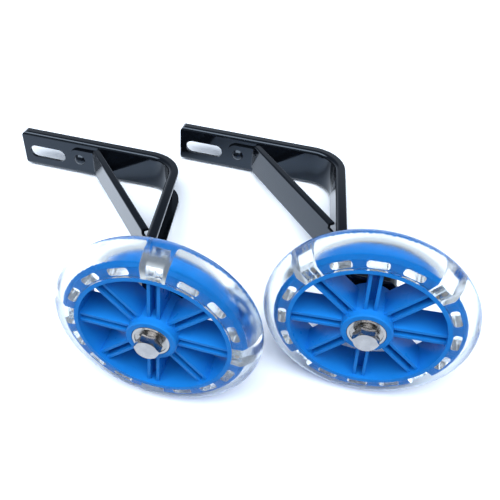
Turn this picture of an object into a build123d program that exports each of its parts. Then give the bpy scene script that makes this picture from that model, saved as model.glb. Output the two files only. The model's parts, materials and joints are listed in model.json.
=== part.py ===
"""Pair of bicycle training wheels: bent channel brackets with a riveted brace, and light-up wheels
with a spoked core in a clear tyre, lying as a set on a floor. Millimetres, +Z up."""
import math
import os

from build123d import *

# Wheel: clear tyre on a spoked core
wheel_radius = 60.0
tyre_width = 22.0
tyre_depth = 15.0
rim_wall = 2.4
ring_height = 8.1
ring_width = 16.0
ring_crown = 1.5
ring_bevel = 1.9
ring_bevel_drop = 1.2
moulding_gap = 0.1
spoke_count = 8
rib_thickness = 1.8
rib_spacing = 5.4
rib_width = 17.0
web_thickness = 2.5
rib_root = 0.8

# Windows through the ring, and the light modules in the gaps between their groups
window_length = 11.8
window_height = 4.5
window_floor = 0.3
window_corner = 1.8
windows_per_group = 3
light_count = 4
light_angle = 16.5
light_gap = 0.1
case_width = 8.6
case_height = 4.4
case_length = 9.2
case_roof = 0.8
coil_radius = 1.35
coil_length = 6.8
coil_shift = -2.1
chip_size = 2.6
chip_height = 1.4
chip_shift = 2.2

# Hub and sealed bearings
hub_wall = 3.5
hub_edge = 0.8
bearing_radius = 11.0
bearing_width = 7.0
bearing_race = 1.7
bearing_hub_gap = 19.0
bearing_inner_radius = 6.1
bearing_edge = 0.4
seal_recess = 0.5
running_gap = 0.08
seat_gap = 0.05
magnet_wall = 1.8
magnet_length = 9.0
spacer_wall = 1.5

# Axle bolt, nut and washers
axle_radius = 4.0
axle_gap = 0.05
tab_hole_gap = 0.2
hex_across_flats = 13.0
head_height = 5.3
head_washer_radius = 6.0
head_washer_height = 1.5
rear_spacer_height = 2.5
nut_washer_radius = 8.0
nut_washer_height = 1.6
nut_hex_height = 5.6
nut_collar_height = 2.2
nut_collar_inset = 0.7
bolt_tail = 1.5
hex_corner_cut = 0.8

# Bracket bar: arm, leaning leg and wheel tab bent from one pressed channel with its web inside
bar_width = 28.0
bar_depth = 7.0
bar_sheet = 2.2
bar_edge = 2.6
flange_edge = 0.8
arm_stand_off = 139.0
arm_length = 120.0
arm_corner = 3.5
leg_lean = 7.0
leg_to_axle = 19.0
arm_bend = 21.5
tab_bend = 11.5
tab_overhang = 15.0
tab_corner = 8.0
slot_length = 28.0
slot_width = 10.0
slot_end_wall = 4.5
slot_drop = 1.5

# Brace across the arm and leg, riveted at both ends
brace_width = 23.0
brace_depth = 5.0
brace_sheet = 2.0
brace_edge = 1.0
brace_bend = 2.6
brace_end_gap = 0.4
brace_along_arm = 63.3
brace_along_leg = 81.9
brace_tab_width = 16.0
brace_tab_corner = 6.5
brace_foot_length = 21.0
rivet_inset = 11.6
rivet_tab_reach = 8.0
rivet_radius = 2.5
rivet_head_radius = 4.3
rivet_head_height = 2.4
rivet_gap = 0.1

# How the two units lie beside each other, and how far each wheel is turned
unit_side_step = 113.3
unit_depth_step = 31.7
left_wheel_angle = 2.2
right_wheel_angle = -49.8

# Derived wheel sizes
tyre_half = tyre_width / 2
crown_centre = wheel_radius - tyre_half
rim_radius = wheel_radius - tyre_depth
rim_inner = rim_radius - rim_wall
ring_radius = rim_radius + ring_height
ring_half = ring_width / 2
window_middle = rim_radius + window_floor + window_height / 2
hub_radius = bearing_radius + hub_wall
hub_half = bearing_width + (bearing_hub_gap - bearing_width) / 2
hub_shoulder = hub_half - bearing_width
group_angle = 360 / light_count
window_spread = group_angle * (windows_per_group - 1) / (windows_per_group + 1)
segment_places = [Location((0, 0, 0), (0, (step + 0.5) * group_angle, 0)) for step in range(light_count)]
bore_radius = axle_radius + axle_gap
spacer_radius = bore_radius + spacer_wall
hex_radius = hex_across_flats / 2

# Derived positions along the axle, from the wheel's middle towards the arm
head_seat = -hub_half - head_washer_height
tab_front = hub_half + rear_spacer_height
tab_middle = tab_front + bar_depth / 2
tab_back = tab_front + bar_sheet
nut_seat = tab_back + nut_washer_height
nut_end = nut_seat + nut_hex_height + nut_collar_height

# Derived bracket lines, seen from above
lean = math.radians(leg_lean)
leg_run = arm_stand_off - tab_middle
arm_corner_point = Vector(-leg_to_axle - leg_run * math.tan(lean), arm_stand_off)
tab_corner_point = Vector(-leg_to_axle, tab_middle)
arm_end = arm_corner_point.X - arm_length
slot_middle = arm_end + slot_end_wall + slot_length / 2
leg_way = Vector(math.sin(lean), -math.cos(lean))
leg_inside = Vector(-math.cos(lean), -math.sin(lean))
arm_front = arm_stand_off - bar_depth / 2
brace_tab_line = arm_front - brace_sheet / 2
foot_offset = leg_inside * (bar_depth + brace_sheet) / 2
brace_arm_fold = Vector(arm_corner_point.X - brace_along_arm, brace_tab_line)
brace_leg_fold = arm_corner_point + leg_way * brace_along_leg + foot_offset
brace_foot_end = brace_leg_fold + leg_way * brace_foot_length
arm_rivet_x = brace_arm_fold.X - rivet_inset
brace_tab_end = Vector(arm_rivet_x - rivet_tab_reach, brace_tab_line)
leg_rivet_seat = brace_leg_fold + leg_way * rivet_inset - leg_inside * (bar_sheet + brace_sheet / 2)
rivet_grip = bar_sheet + brace_sheet
brace_way = (brace_leg_fold - brace_arm_fold).normalized()
brace_back = Vector(-brace_way.Y, brace_way.X)
brace_reach = brace_depth - brace_sheet / 2
strip_end_cut = brace_end_gap - brace_sheet / 2
strip_start = brace_arm_fold - brace_way * (brace_reach * brace_back.Y + strip_end_cut) / brace_way.Y
reach_to_leg = brace_reach * brace_back.dot(leg_inside)
strip_end = brace_leg_fold - brace_way * (reach_to_leg - strip_end_cut) / brace_way.dot(leg_inside)
dome_radius = (rivet_head_radius**2 + rivet_head_height**2) / (2 * rivet_head_height)
dome_angle = math.degrees(math.asin(rivet_head_radius / dome_radius))

# Planes that the flat features are drawn on
wheel_plane = Plane.XZ
arm_plane = Plane.XZ.offset(-arm_stand_off)
tab_plane = Plane.XZ.offset(-tab_middle)
section_plane = Plane(origin=(arm_end, arm_stand_off, 0), x_dir=(0, 1, 0), z_dir=(1, 0, 0))
arm_rivet_plane = Plane(
    origin=(arm_rivet_x, arm_front + bar_sheet, 0), x_dir=(1, 0, 0), z_dir=(0, -1, 0)
)
leg_rivet_plane = Plane(
    origin=(leg_rivet_seat.X, leg_rivet_seat.Y, 0), x_dir=(0, 0, 1), z_dir=(leg_inside.X, leg_inside.Y, 0)
)


def turned_ring(inner, outer, start, end):
    """Plain ring about the axle between two positions along it."""
    with BuildPart() as ring:
        with BuildSketch(Plane.XZ.offset(-start)):
            Circle(outer)
            Circle(inner, mode=Mode.SUBTRACT)
        extrude(amount=start - end)
    return ring.part


def ring_segment(skin):
    """One ridged segment of the ring with its windows, thickened outwards by a skin."""
    root = rim_radius - rim_wall / 2
    side = ring_half + skin
    ridge = ring_radius + skin
    bevel = (ridge - ring_crown, side - ring_bevel)
    shoulder = ridge - ring_crown - ring_bevel_drop
    sweep = group_angle - light_angle + 2 * math.degrees(skin / rim_radius)
    start = math.radians(sweep / 2)
    start_plane = Plane(
        origin=(0, 0, 0),
        x_dir=(math.cos(start), 0, math.sin(start)),
        z_dir=(-math.sin(start), 0, math.cos(start)),
    )
    with BuildPart() as segment:
        with BuildSketch(start_plane):
            with BuildLine():
                Polyline(
                    (root, -side),
                    (shoulder, -side),
                    (bevel[0], -bevel[1]),
                    (ridge, 0),
                    bevel,
                    (shoulder, side),
                    (root, side),
                    close=True,
                )
            make_face()
        revolve(axis=Axis.Y, revolution_arc=sweep)
        with BuildSketch(wheel_plane):
            with PolarLocations(
                window_middle, windows_per_group, -window_spread / 2, window_spread, endpoint=True
            ):
                RectangleRounded(window_height - 2 * skin, window_length - 2 * skin, window_corner - skin)
        extrude(amount=tyre_half, both=True, mode=Mode.SUBTRACT)
    return segment.part


# Wheel core: hub, double-rib spokes, rim and windowed ring in one moulding
with BuildPart() as wheel_core:
    with BuildSketch(Plane.XY):
        with BuildLine():
            Polyline(
                (bearing_radius + seat_gap, hub_half),
                (hub_radius - hub_edge, hub_half),
                (hub_radius, hub_half - hub_edge),
                (hub_radius, -hub_half + hub_edge),
                (hub_radius - hub_edge, -hub_half),
                (bearing_radius + seat_gap, -hub_half),
                (bearing_radius + seat_gap, -hub_shoulder),
                (bearing_radius - bearing_race, -hub_shoulder),
                (bearing_radius - bearing_race, hub_shoulder),
                (bearing_radius + seat_gap, hub_shoulder),
                close=True,
            )
        make_face()
        with Locations((rim_radius - rim_wall / 2, 0)):
            Rectangle(rim_wall, tyre_width)
    revolve(axis=Axis.Y)
    spoke_start = hub_radius - rib_root
    spoke_length = rim_inner + rib_root - spoke_start
    spoke_middle = spoke_start + spoke_length / 2
    with BuildSketch(wheel_plane):
        with PolarLocations(0, spoke_count):
            with Locations((spoke_middle, rib_spacing / 2), (spoke_middle, -rib_spacing / 2)):
                Rectangle(spoke_length, rib_thickness)
    extrude(amount=rib_width / 2, both=True)
    with BuildSketch(wheel_plane):
        with PolarLocations(0, spoke_count):
            with Locations((spoke_middle, 0)):
                Rectangle(spoke_length, rib_spacing)
    extrude(amount=web_thickness / 2, both=True)
    with Locations(*segment_places):
        add(ring_segment(0))

# Tyre: one clear moulding with a half-round crown, plugs in the windows and lugs in the gaps
bead = rim_radius + moulding_gap
case_top = bead + case_height
with BuildPart() as tyre:
    with BuildSketch(Plane.XY):
        with BuildLine():
            Polyline(
                (crown_centre, tyre_half),
                (bead, tyre_half),
                (bead, -tyre_half),
                (crown_centre, -tyre_half),
            )
            ThreePointArc((crown_centre, -tyre_half), (wheel_radius, 0), (crown_centre, tyre_half))
        make_face()
    revolve(axis=Axis.Y)
    with Locations(*segment_places):
        add(ring_segment(moulding_gap), mode=Mode.SUBTRACT)
    with BuildSketch(wheel_plane):
        with PolarLocations(case_top + light_gap - case_height, light_count):
            Rectangle(2 * case_height, case_width + 2 * light_gap)
    extrude(amount=case_length / 2 + light_gap, both=True, mode=Mode.SUBTRACT)

# Light modules: a clear case in each lug, with pockets for a coil and a chip
pocket_roof = case_top - case_roof
with BuildPart() as light_cases:
    with BuildSketch(wheel_plane):
        with PolarLocations(case_top - case_height / 2, light_count):
            Rectangle(case_height, case_width)
    extrude(amount=case_length / 2, both=True)
    with BuildSketch(wheel_plane):
        with PolarLocations(0, light_count):
            with Locations((pocket_roof - case_height, coil_shift)):
                Rectangle(2 * case_height, 2 * (coil_radius + light_gap))
    extrude(amount=coil_length / 2 + light_gap, both=True, mode=Mode.SUBTRACT)
    with BuildSketch(wheel_plane):
        with PolarLocations(0, light_count):
            with Locations((pocket_roof - case_height, chip_shift)):
                Rectangle(2 * case_height, chip_size + 2 * light_gap)
    extrude(amount=chip_size / 2 + light_gap, both=True, mode=Mode.SUBTRACT)

# Coil of each light module, lying across the wheel in its pocket
coil_height = pocket_roof - light_gap - coil_radius
with BuildPart() as light_coils:
    with BuildSketch(wheel_plane):
        with PolarLocations(0, light_count):
            with Locations((coil_height, coil_shift)):
                Circle(coil_radius)
    extrude(amount=coil_length / 2, both=True)

# Light-emitting chip of each module, beside the coil
with BuildPart() as light_chips:
    with BuildSketch(wheel_plane):
        with PolarLocations(0, light_count):
            with Locations((pocket_roof - light_gap - chip_height / 2, chip_shift)):
                Rectangle(chip_height, chip_size)
    extrude(amount=chip_size / 2, both=True)

# Outer bearing rings, pressed into both ends of the hub
race_radius = bearing_radius - bearing_race
with BuildPart() as bearing_rings:
    with BuildSketch(Plane.XY) as ring_profile:
        with Locations((bearing_radius - bearing_race / 2, hub_half - bearing_width / 2)):
            Rectangle(bearing_race, bearing_width)
        chamfer(ring_profile.vertices().group_by(Axis.X)[-1], bearing_edge)
        mirror(about=Plane.XZ)
    revolve(axis=Axis.Y)

# Sealed ball sets: balls, cage and shields as one closed ring in each bearing
seal_inner = bearing_inner_radius + running_gap
seal_outer = race_radius - seat_gap
with BuildPart() as ball_sets:
    with BuildSketch(Plane.XY):
        with Locations(((seal_inner + seal_outer) / 2, hub_half - bearing_width / 2)):
            Rectangle(seal_outer - seal_inner, bearing_width - 2 * seal_recess)
        mirror(about=Plane.XZ)
    revolve(axis=Axis.Y)

# Inner bearing rings, clamped on the axle
with BuildPart() as bearing_inners:
    with BuildSketch(Plane.XY):
        with Locations(((bore_radius + bearing_inner_radius) / 2, hub_half - bearing_width / 2)):
            Rectangle(bearing_inner_radius - bore_radius, bearing_width)
        mirror(about=Plane.XZ)
    revolve(axis=Axis.Y)

# Spacer tube between the inner rings, and the magnet ring that it carries
bearing_spacer = turned_ring(bore_radius, spacer_radius, -hub_shoulder, hub_shoulder)
magnet_inner = spacer_radius + seat_gap
magnet_ring = turned_ring(magnet_inner, magnet_inner + magnet_wall, -magnet_length / 2, magnet_length / 2)

# Washers and spacer on the axle
head_washer = turned_ring(bore_radius, head_washer_radius, head_seat, -hub_half)
rear_spacer = turned_ring(bore_radius, head_washer_radius, hub_half, tab_front)
nut_washer = turned_ring(bore_radius, nut_washer_radius, tab_back, nut_seat)

# Axle bolt: hexagon head with turned-down corners, plain shank
with BuildPart() as axle_bolt:
    with BuildSketch(Plane.XZ.offset(-head_seat)):
        RegularPolygon(hex_radius, 6, major_radius=False)
    extrude(amount=head_height)
    with BuildSketch(Plane.XY):
        with BuildLine():
            hex_tip = hex_radius / math.cos(math.pi / 6)
            Polyline(
                (hex_radius, head_seat - head_height),
                (hex_tip, head_seat - head_height),
                (hex_tip, head_seat - head_height + hex_corner_cut),
                close=True,
            )
        make_face()
    revolve(axis=Axis.Y, mode=Mode.SUBTRACT)
    with BuildSketch(Plane.XZ.offset(-head_seat)):
        Circle(axle_radius)
    extrude(amount=head_seat - nut_end - bolt_tail)

# Lock nut: hexagon with a round collar
with BuildPart() as lock_nut:
    with BuildSketch(Plane.XZ.offset(-nut_seat)):
        RegularPolygon(hex_radius, 6, major_radius=False)
    extrude(amount=-nut_hex_height)
    with BuildSketch(Plane.XZ.offset(-nut_seat - nut_hex_height)):
        Circle(hex_radius - nut_collar_inset)
    extrude(amount=-nut_collar_height)
    with BuildSketch(Plane.XZ.offset(-nut_seat)):
        Circle(bore_radius)
    extrude(amount=nut_seat - nut_end, mode=Mode.SUBTRACT)

# Bracket bar: one channel bent twice, slotted at the arm's end and drilled at the wheel tab
with BuildPart() as bracket_bar:
    with BuildLine() as bar_line:
        FilletPolyline(
            (arm_end, arm_stand_off),
            arm_corner_point,
            tab_corner_point,
            (tab_overhang, tab_middle),
            radius=(arm_bend, tab_bend),
        )
    with BuildSketch(section_plane) as bar_section:
        Rectangle(bar_depth, bar_width)
        fillet(bar_section.vertices().group_by(Axis.X)[0], bar_edge)
        fillet(bar_section.vertices().group_by(Axis.X)[-1], flange_edge)
        with Locations((bar_sheet, 0)):
            Rectangle(bar_depth, bar_width - 2 * bar_sheet, mode=Mode.SUBTRACT)
    sweep(path=bar_line.line)
    with BuildSketch(wheel_plane) as bar_outline:
        with Locations(((arm_end + tab_overhang) / 2, 0)):
            Rectangle(tab_overhang - arm_end, bar_width)
        fillet(bar_outline.vertices().group_by(Axis.X)[0], arm_corner)
        fillet(bar_outline.vertices().group_by(Axis.X)[-1], tab_corner)
    extrude(amount=-2 * arm_stand_off, mode=Mode.INTERSECT)
    with BuildSketch(arm_plane):
        with Locations((slot_middle, -slot_drop)):
            SlotOverall(slot_length, slot_width)
        with Locations((arm_rivet_x, 0)):
            Circle(rivet_radius + rivet_gap)
    extrude(amount=bar_depth, both=True, mode=Mode.SUBTRACT)
    with BuildSketch(tab_plane):
        Circle(axle_radius + tab_hole_gap)
    extrude(amount=bar_depth, both=True, mode=Mode.SUBTRACT)
    with BuildSketch(leg_rivet_plane):
        Circle(rivet_radius + rivet_gap)
    extrude(amount=bar_depth, mode=Mode.SUBTRACT)

# Brace: channel between the arm and leg, with its web folded to a rounded tab and a foot
with BuildPart() as brace:
    with BuildSketch(Plane.XY):
        with BuildLine():
            FilletPolyline(brace_tab_end, brace_arm_fold, brace_leg_fold, brace_foot_end, radius=brace_bend)
        trace(line_width=brace_sheet)
    extrude(amount=brace_tab_width / 2, both=True)
    fillet(brace.edges().filter_by(Axis.Y).group_by(Axis.X)[0], brace_tab_corner)
    with BuildSketch(Plane.XY):
        with BuildLine():
            Polyline(
                strip_start - brace_back * brace_sheet / 2,
                strip_end - brace_back * brace_sheet / 2,
                strip_end + brace_back * brace_reach,
                strip_start + brace_back * brace_reach,
                close=True,
            )
        make_face()
    extrude(amount=brace_width / 2, both=True)
    strip_sides = brace.edges().filter_by(lambda edge: abs(edge.center().Z) > brace_width / 2 - brace_edge)
    fillet(strip_sides.filter_by(lambda edge: edge.length > 2 * brace_depth), brace_edge)
    with BuildSketch(Plane.XY):
        with BuildLine():
            Polyline(
                strip_start + brace_back * brace_sheet / 2 - brace_way * brace_depth,
                strip_end + brace_back * brace_sheet / 2 + brace_way * brace_depth,
                strip_end + brace_back * brace_depth * 2 + brace_way * brace_depth,
                strip_start + brace_back * brace_depth * 2 - brace_way * brace_depth,
                close=True,
            )
        make_face()
    extrude(amount=brace_width / 2 - brace_sheet, both=True, mode=Mode.SUBTRACT)
    with BuildSketch(arm_rivet_plane):
        Circle(rivet_radius + rivet_gap)
    extrude(amount=rivet_grip, mode=Mode.SUBTRACT)
    with BuildSketch(leg_rivet_plane):
        Circle(rivet_radius + rivet_gap)
    extrude(amount=rivet_grip, mode=Mode.SUBTRACT)

# Rivets: flush on the bar, domed on the brace
with BuildPart() as rivet:
    with BuildSketch(Plane.XZ):
        with BuildLine():
            Polyline(
                (0, rivet_grip + rivet_head_height),
                (0, 0),
                (rivet_radius, 0),
                (rivet_radius, rivet_grip),
                (rivet_head_radius, rivet_grip),
            )
            dome_centre = (0, rivet_grip + rivet_head_height - dome_radius)
            CenterArc(dome_centre, dome_radius, 90 - dome_angle, dome_angle)
        make_face()
    revolve(axis=Axis.Z)
with BuildPart() as rivets:
    with Locations(arm_rivet_plane.location, leg_rivet_plane.location):
        add(rivet.part)

# Each unit tips back until its arm's lower edge and its tyre both touch the floor
edge_drop = bar_width / 2 - flange_edge
edge_back = arm_stand_off + bar_depth / 2 - flange_edge
drop_difference = crown_centre - edge_drop
rest_tilt = math.atan2(drop_difference, edge_back) + math.asin(
    (tyre_half - flange_edge) / math.hypot(drop_difference, edge_back)
)
wheel_height = crown_centre * math.cos(rest_tilt) + tyre_half

fixed_pieces = {
    "bracket_bar": bracket_bar.part,
    "brace": brace.part,
    "bearing_inner_rings": bearing_inners.part,
    "bearing_spacer": bearing_spacer,
    "magnet_ring": magnet_ring,
}
turning_pieces = {
    "wheel_core": wheel_core.part,
    "tyre": tyre.part,
    "light_cases": light_cases.part,
    "light_coils": light_coils.part,
    "light_chips": light_chips.part,
    "bearing_outer_rings": bearing_rings.part,
    "bearing_ball_sets": ball_sets.part,
}
fasteners = {
    "brace_rivets": rivets.part,
    "axle_bolts": axle_bolt.part,
    "head_washers": head_washer,
    "rear_spacers": rear_spacer,
    "nut_washers": nut_washer,
    "lock_nuts": lock_nut.part,
}
unit_layout = {
    "left": (Vector(0, 0, wheel_height), left_wheel_angle),
    "right": (Vector(unit_side_step, unit_depth_step, wheel_height), right_wheel_angle),
}

# Both units in place on the floor, with the like fasteners of both as one group
placed = {}
for side, (spot, turn) in unit_layout.items():
    unit_place = Location(spot, (-math.degrees(rest_tilt), 0, 0))
    wheel_place = unit_place * Location((0, 0, 0), (0, turn, 0))
    for name, piece in fixed_pieces.items():
        placed[f"{name}_{side}"] = unit_place * piece
    for name, piece in turning_pieces.items():
        placed[f"{name}_{side}"] = wheel_place * piece
    for name, piece in fasteners.items():
        placed[name] = placed.get(name, Part()) + unit_place * piece

# The set moved so that its footprint is centred on the origin
boxes = [piece.bounding_box() for piece in placed.values()]
middle_x = (min(box.min.X for box in boxes) + max(box.max.X for box in boxes)) / 2
middle_y = (min(box.min.Y for box in boxes) + max(box.max.Y for box in boxes)) / 2
to_origin = Location((-middle_x, -middle_y, 0))

os.makedirs("parts", exist_ok=True)
for name, piece in placed.items():
    finished = to_origin * piece
    finished.label = name
    export_step(finished, f"parts/{name}.step")

print("rest tilt", round(math.degrees(rest_tilt), 4), "wheel height", round(wheel_height, 4))
for side, (spot, turn) in unit_layout.items():
    print(side, "wheel centre", round(spot.X - middle_x, 4), round(spot.Y - middle_y, 4), round(spot.Z, 4))
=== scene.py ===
"""Looks of the training-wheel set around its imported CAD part. Metres, +Z up, in the part's own frame."""
import json
import math

import bmesh
import bpy
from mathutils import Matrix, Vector
from mathutils.bvhtree import BVHTree


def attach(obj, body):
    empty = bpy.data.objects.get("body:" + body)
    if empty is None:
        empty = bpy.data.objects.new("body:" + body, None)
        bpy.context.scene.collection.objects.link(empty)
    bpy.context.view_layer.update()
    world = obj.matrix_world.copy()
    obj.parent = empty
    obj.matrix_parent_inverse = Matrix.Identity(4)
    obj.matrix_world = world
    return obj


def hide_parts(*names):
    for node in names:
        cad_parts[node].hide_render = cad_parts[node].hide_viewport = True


MM = 0.001
SIDES = ("left", "right")
WHITE = (1.0, 1.0, 1.0, 1.0)

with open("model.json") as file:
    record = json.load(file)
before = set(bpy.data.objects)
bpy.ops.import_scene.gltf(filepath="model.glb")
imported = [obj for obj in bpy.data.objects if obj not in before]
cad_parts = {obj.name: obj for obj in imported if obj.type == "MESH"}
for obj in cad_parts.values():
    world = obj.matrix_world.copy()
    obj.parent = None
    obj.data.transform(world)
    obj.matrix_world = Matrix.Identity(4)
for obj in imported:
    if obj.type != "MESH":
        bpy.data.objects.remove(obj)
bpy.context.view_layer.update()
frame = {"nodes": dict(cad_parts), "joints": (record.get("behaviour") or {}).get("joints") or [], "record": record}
nodes = frame["nodes"]
scene = bpy.context.scene


def add_object(name, data):
    """Object of a mesh, lamp or camera, in the scene."""
    added = bpy.data.objects.new(name, data)
    scene.collection.objects.link(added)
    return added


def aim(holder, direction):
    """Turn a lamp or camera to look along a direction."""
    holder.rotation_mode = "QUATERNION"
    holder.rotation_quaternion = direction.to_track_quat("-Z", "Y")


# Materials: most of a noise pattern's values lie between the low and the high one
NOISE_LOW = 0.3
NOISE_HIGH = 0.7
NOISE_DETAIL = 3.0


def shader_of(tree):
    """The principled shader of a material's node tree."""
    return tree.nodes["Principled BSDF"]


def principled(name, color, **settings):
    """Material of one principled shader with a plain colour and the named inputs set."""
    material = bpy.data.materials.new(name)
    material.use_nodes = True
    shader = shader_of(material.node_tree)
    shader.inputs["Base Color"].default_value = (*color, 1.0)
    for key, value in settings.items():
        shader.inputs[key.replace("_", " ")].default_value = value
    return material


def noise(tree, size):
    """Noise in the piece's own coordinates, with features of about one size."""
    place = tree.nodes.new("ShaderNodeTexCoord")
    pattern = tree.nodes.new("ShaderNodeTexNoise")
    pattern.inputs["Scale"].default_value = 1 / size
    pattern.inputs["Detail"].default_value = NOISE_DETAIL
    tree.links.new(place.outputs["Object"], pattern.inputs["Vector"])
    return pattern.outputs["Fac"]


def uneven_gloss(material, size, smooth, rough):
    """Vary the roughness between two values in patches of one size."""
    tree = material.node_tree
    spread = tree.nodes.new("ShaderNodeMapRange")
    spread.inputs["From Min"].default_value = NOISE_LOW
    spread.inputs["From Max"].default_value = NOISE_HIGH
    spread.inputs["To Min"].default_value = smooth
    spread.inputs["To Max"].default_value = rough
    tree.links.new(noise(tree, size), spread.inputs["Value"])
    tree.links.new(spread.outputs["Result"], shader_of(tree).inputs["Roughness"])


def uneven_tone(material, size, dark, light):
    """Vary the colour about the plain one, between two tones in patches of one size."""
    tree = material.node_tree
    tones = tree.nodes.new("ShaderNodeValToRGB")
    low_tone, high_tone = tones.color_ramp.elements
    low_tone.position = NOISE_LOW
    low_tone.color = (*dark, 1.0)
    high_tone.position = NOISE_HIGH
    high_tone.color = (*light, 1.0)
    tree.links.new(noise(tree, size), tones.inputs["Fac"])
    tree.links.new(tones.outputs["Color"], shader_of(tree).inputs["Base Color"])


def ripple(material, size, height):
    """Shade the surface as if raised in ripples of one size and height."""
    tree = material.node_tree
    bump = tree.nodes.new("ShaderNodeBump")
    bump.inputs["Distance"].default_value = height
    tree.links.new(noise(tree, size), bump.inputs["Height"])
    tree.links.new(bump.outputs["Normal"], shader_of(tree).inputs["Normal"])


# Gloss paint with a faint orange peel, its reflections tinted blue: a painted blue cast of the shaded floor that
# they mirror
black_paint = principled(
    "black_paint",
    (0.003, 0.004, 0.006),
    IOR=1.5,
    Specular_IOR_Level=0.5,
    Specular_Tint=(0.65, 0.8, 1.0, 1.0),
)
uneven_gloss(black_paint, size=15 * MM, smooth=0.05, rough=0.09)
ripple(black_paint, size=1.6 * MM, height=0.003 * MM)

# Moulded plastic with flow marks and a fine grain
blue_plastic = principled("blue_plastic", (0.009, 0.19, 0.62), IOR=1.45, Specular_IOR_Level=0.08)
uneven_tone(blue_plastic, size=25 * MM, dark=(0.0085, 0.182, 0.605), light=(0.0095, 0.198, 0.635))
uneven_gloss(blue_plastic, size=8 * MM, smooth=0.26, rough=0.36)
ripple(blue_plastic, size=0.5 * MM, height=0.002 * MM)

# Cast polyurethane, clear and a little wavy
clear_polyurethane = principled(
    "clear_polyurethane",
    (0.93, 0.985, 1.0),
    IOR=1.49,
    Transmission_Weight=1.0,
    Specular_Tint=(0.08, 0.09, 0.1, 1.0),
)
uneven_gloss(clear_polyurethane, size=10 * MM, smooth=0.13, rough=0.19)
ripple(clear_polyurethane, size=9 * MM, height=0.05 * MM)

# Cases of the light modules
clear_plastic = principled("clear_plastic", (0.97, 0.98, 1.0), IOR=1.45, Transmission_Weight=1.0)
uneven_gloss(clear_plastic, size=3 * MM, smooth=0.06, rough=0.1)

# Enamelled wire, seen as fine unevenness through the clear case
coil_copper = principled("coil_copper", (0.4, 0.28, 0.2), Metallic=0.6)
uneven_gloss(coil_copper, size=1 * MM, smooth=0.35, rough=0.55)
ripple(coil_copper, size=0.4 * MM, height=0.05 * MM)

light_chip = principled("light_chip", (0.8, 0.82, 0.78))
uneven_gloss(light_chip, size=0.5 * MM, smooth=0.35, rough=0.45)

# Zinc plating, cloudy over faint tool marks
zinc_steel = principled("zinc_steel", (0.31, 0.31, 0.32), Metallic=1.0)
uneven_tone(zinc_steel, size=4 * MM, dark=(0.27, 0.27, 0.28), light=(0.36, 0.355, 0.355))
uneven_gloss(zinc_steel, size=2 * MM, smooth=0.16, rough=0.3)
ripple(zinc_steel, size=1.2 * MM, height=0.002 * MM)

# Ground rings and pressed shields of the bearings
bearing_steel = principled("bearing_steel", (0.33, 0.325, 0.32), Metallic=1.0)
uneven_gloss(bearing_steel, size=2 * MM, smooth=0.1, rough=0.2)
bearing_shield = principled("bearing_shield", (0.3, 0.29, 0.28), Metallic=1.0)
uneven_gloss(bearing_shield, size=1.5 * MM, smooth=0.2, rough=0.32)

magnet = principled("magnet", (0.05, 0.05, 0.054))
uneven_gloss(magnet, size=0.6 * MM, smooth=0.4, rough=0.6)

slot_materials = {
    "black_paint": black_paint,
    "blue_plastic": blue_plastic,
    "clear_polyurethane": clear_polyurethane,
    "clear_plastic": clear_plastic,
    "coil_copper": coil_copper,
    "light_chip": light_chip,
    "zinc_steel": zinc_steel,
    "bearing_steel": bearing_steel,
    "bearing_shield": bearing_shield,
    "magnet": magnet,
}
for subpart in frame["record"]["subparts"]:
    node_mesh = nodes[subpart["node"]].data
    node_mesh.materials.clear()
    node_mesh.materials.append(slot_materials[subpart["material_slot"]])

# Tyres: the same moulding shaded round, cast against the sides and bevels of its core, loose on the ridges.
# A core face counts as a side or bevel by the axle's share in its normal.
CREASE = math.radians(30)
WELD_DISTANCE = 0.001 * MM
SEAT_REACH = 0.2 * MM
SEAT_DEPTH = 0.03 * MM
SEAT_FACING = 0.3


def cast_copy(name, node, core, axle):
    """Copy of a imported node's mesh in the part's frame, set onto its core's side faces and shaded smooth."""
    core_sides = BVHTree.FromPolygons(
        [vertex.co for vertex in core.data.vertices],
        [face.vertices for face in core.data.polygons if abs(face.normal.dot(axle)) > SEAT_FACING],
    )
    shape = bmesh.new()
    shape.from_mesh(node.data)
    bmesh.ops.remove_doubles(shape, verts=shape.verts, dist=WELD_DISTANCE)
    shape.verts.index_update()
    for vertex in shape.verts:
        spot, outwards, _, _ = core_sides.find_nearest(vertex.co, SEAT_REACH)
        if spot is not None:
            vertex.co = spot - outwards * SEAT_DEPTH
    corners = [vertex.co.copy() for vertex in shape.verts]
    faces = [[vertex.index for vertex in face.verts] for face in shape.faces]
    shape.free()
    mesh = bpy.data.meshes.new(name)
    mesh.from_pydata(corners, [], faces)
    mesh.update()
    mesh.shade_smooth()
    mesh.set_sharp_from_angle(angle=CREASE)
    return add_object(name, mesh)


# Both wheels turn about parallel axles
axle = Vector(frame["joints"][0]["axis"])
for side in SIDES:
    tyre = cast_copy(f"smooth_tyre_{side}", nodes[f"tyre_{side}"], nodes[f"wheel_core_{side}"], axle)
    tyre.data.materials.append(clear_polyurethane)
    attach(tyre, f"{side}_wheel")
    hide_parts(f"tyre_{side}")


def seen_directly(tree):
    """One where a camera, glossy or transmission ray arrives, zero for light that only falls on things."""
    rays = tree.nodes.new("ShaderNodeLightPath")
    total = rays.outputs["Is Camera Ray"]
    for kind in ("Is Glossy Ray", "Is Transmission Ray"):
        either = tree.nodes.new("ShaderNodeMath")
        either.operation = "MAXIMUM"
        tree.links.new(total, either.inputs[0])
        tree.links.new(rays.outputs[kind], either.inputs[1])
        total = either.outputs["Value"]
    return total


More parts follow.
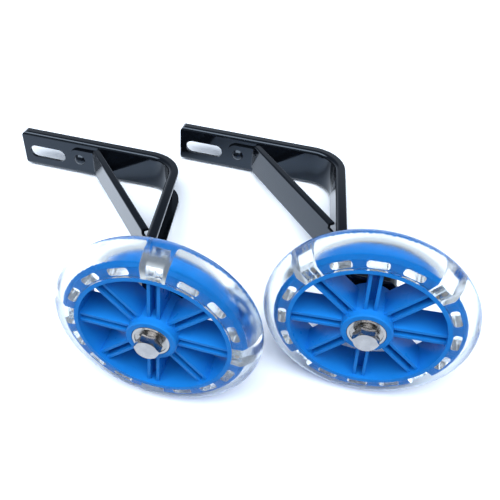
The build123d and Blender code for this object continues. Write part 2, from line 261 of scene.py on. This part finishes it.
# Floor: pale in the light that it throws back, and white as a background
FLOOR_REACH = 3.0
FLOOR_BOUNCE = (0.36, 0.405, 0.46)
FLOOR_SEEN = (1.02, 1.12, 1.25)
floor_mesh = bpy.data.meshes.new("floor")
floor_corners = [(x * FLOOR_REACH, y * FLOOR_REACH, 0) for x, y in ((-1, -1), (1, -1), (1, 1), (-1, 1))]
floor_mesh.from_pydata(floor_corners, [], [(0, 1, 2, 3)])
floor_pale = principled("floor_pale", FLOOR_BOUNCE, Roughness=0.6, Specular_IOR_Level=0.1)
floor_tree = floor_pale.node_tree
floor_shader = shader_of(floor_tree)
floor_seen = seen_directly(floor_tree)
floor_tone = floor_tree.nodes.new("ShaderNodeMix")
floor_tone.data_type = "RGBA"
floor_tone.inputs["A"].default_value = (*FLOOR_BOUNCE, 1.0)
floor_tone.inputs["B"].default_value = (*FLOOR_SEEN, 1.0)
floor_tree.links.new(floor_seen, floor_tone.inputs["Factor"])
floor_tree.links.new(floor_tone.outputs["Result"], floor_shader.inputs["Base Color"])

# It glows at a distance, so it stays white where it runs out of the lamp's light
GLOW_START = 0.4
GLOW_FULL = 1.6
floor_place = floor_tree.nodes.new("ShaderNodeTexCoord")
floor_distance = floor_tree.nodes.new("ShaderNodeVectorMath")
floor_distance.operation = "LENGTH"
floor_glow = floor_tree.nodes.new("ShaderNodeMapRange")
floor_glow.inputs["From Min"].default_value = GLOW_START
floor_glow.inputs["From Max"].default_value = GLOW_FULL
floor_tree.links.new(floor_place.outputs["Object"], floor_distance.inputs[0])
floor_tree.links.new(floor_distance.outputs["Value"], floor_glow.inputs["Value"])
floor_tree.links.new(floor_seen, floor_glow.inputs["To Max"])
floor_shader.inputs["Emission Color"].default_value = WHITE
floor_tree.links.new(floor_glow.outputs["Result"], floor_shader.inputs["Emission Strength"])
floor_mesh.materials.append(floor_pale)
floor = add_object("floor", floor_mesh)

# Lamp: one wide panel overhead, aimed at the origin
LAMP_PLACE = Vector((0.0, -0.15, 1.2))
LAMP_WIDTH = 2.0
LAMP_DEPTH = 0.8
LAMP_POWER = 30
lamp = bpy.data.lights.new("overhead", "AREA")
lamp.shape = "RECTANGLE"
lamp.size = LAMP_WIDTH
lamp.size_y = LAMP_DEPTH
lamp.energy = LAMP_POWER
lamp_holder = add_object("overhead", lamp)
lamp_holder.location = LAMP_PLACE
aim(lamp_holder, -LAMP_PLACE)

# World: a white backdrop, and for reflections a pale band low around the set, dim above it.
# The two heights are sines of the elevation.
BAND_HEIGHT = 0.22
BAND_COLOR = (0.74, 0.8, 0.87, 1.0)
DOME_HEIGHT = 0.36
DOME_COLOR = (0.2, 0.23, 0.28, 1.0)
WORLD_FILL = 0.6
world = bpy.data.worlds.new("studio")
scene.world = world
world.use_nodes = True
world_tree = world.node_tree
background = world_tree.nodes["Background"]
direction = world_tree.nodes.new("ShaderNodeTexCoord")
direction_axes = world_tree.nodes.new("ShaderNodeSeparateXYZ")
heights = world_tree.nodes.new("ShaderNodeValToRGB")
low_band, high_dome = heights.color_ramp.elements
low_band.position = BAND_HEIGHT
low_band.color = BAND_COLOR
high_dome.position = DOME_HEIGHT
high_dome.color = DOME_COLOR
world_tree.links.new(direction.outputs["Generated"], direction_axes.inputs["Vector"])
world_tree.links.new(direction_axes.outputs["Z"], heights.inputs["Fac"])
backdrop = world_tree.nodes.new("ShaderNodeMix")
backdrop.data_type = "RGBA"
backdrop.inputs["B"].default_value = WHITE
view_rays = world_tree.nodes.new("ShaderNodeLightPath")
world_tree.links.new(view_rays.outputs["Is Camera Ray"], backdrop.inputs["Factor"])
world_tree.links.new(heights.outputs["Color"], backdrop.inputs["A"])
world_tree.links.new(backdrop.outputs["Result"], background.inputs["Color"])
level = world_tree.nodes.new("ShaderNodeMapRange")
level.inputs["To Min"].default_value = WORLD_FILL
level.inputs["To Max"].default_value = 1.0
world_tree.links.new(seen_directly(world_tree), level.inputs["Value"])
world_tree.links.new(level.outputs["Result"], background.inputs["Strength"])

# Camera: the photograph's viewpoint, found from the wheels' and bars' outlines
VIEW_AZIMUTH = math.radians(13.54)
VIEW_ELEVATION = math.radians(60.19)
VIEW_DISTANCE = 307.97 * MM
VIEW_TARGET = Vector((34.05, -36.14, 96.57)) * MM
FOCAL_WIDTHS = 589.38 / 500
SENSOR_WIDTH = 36.0
CLIP_START = 0.01
CLIP_END = 20
backwards = Vector(
    (
        math.sin(VIEW_AZIMUTH) * math.cos(VIEW_ELEVATION),
        -math.cos(VIEW_AZIMUTH) * math.cos(VIEW_ELEVATION),
        math.sin(VIEW_ELEVATION),
    )
)
camera_data = bpy.data.cameras.new("camera")
camera_data.sensor_width = SENSOR_WIDTH
camera_data.lens = FOCAL_WIDTHS * SENSOR_WIDTH
camera_data.clip_start = CLIP_START
camera_data.clip_end = CLIP_END
camera = add_object("camera", camera_data)
camera.location = VIEW_TARGET + backwards * VIEW_DISTANCE
aim(camera, -backwards)
scene.camera = camera

scene.view_settings.view_transform = "Standard"
scene.cycles.max_bounces = 24
scene.cycles.transmission_bounces = 20
scene.cycles.transparent_max_bounces = 16
scene.cycles.glossy_bounces = 8
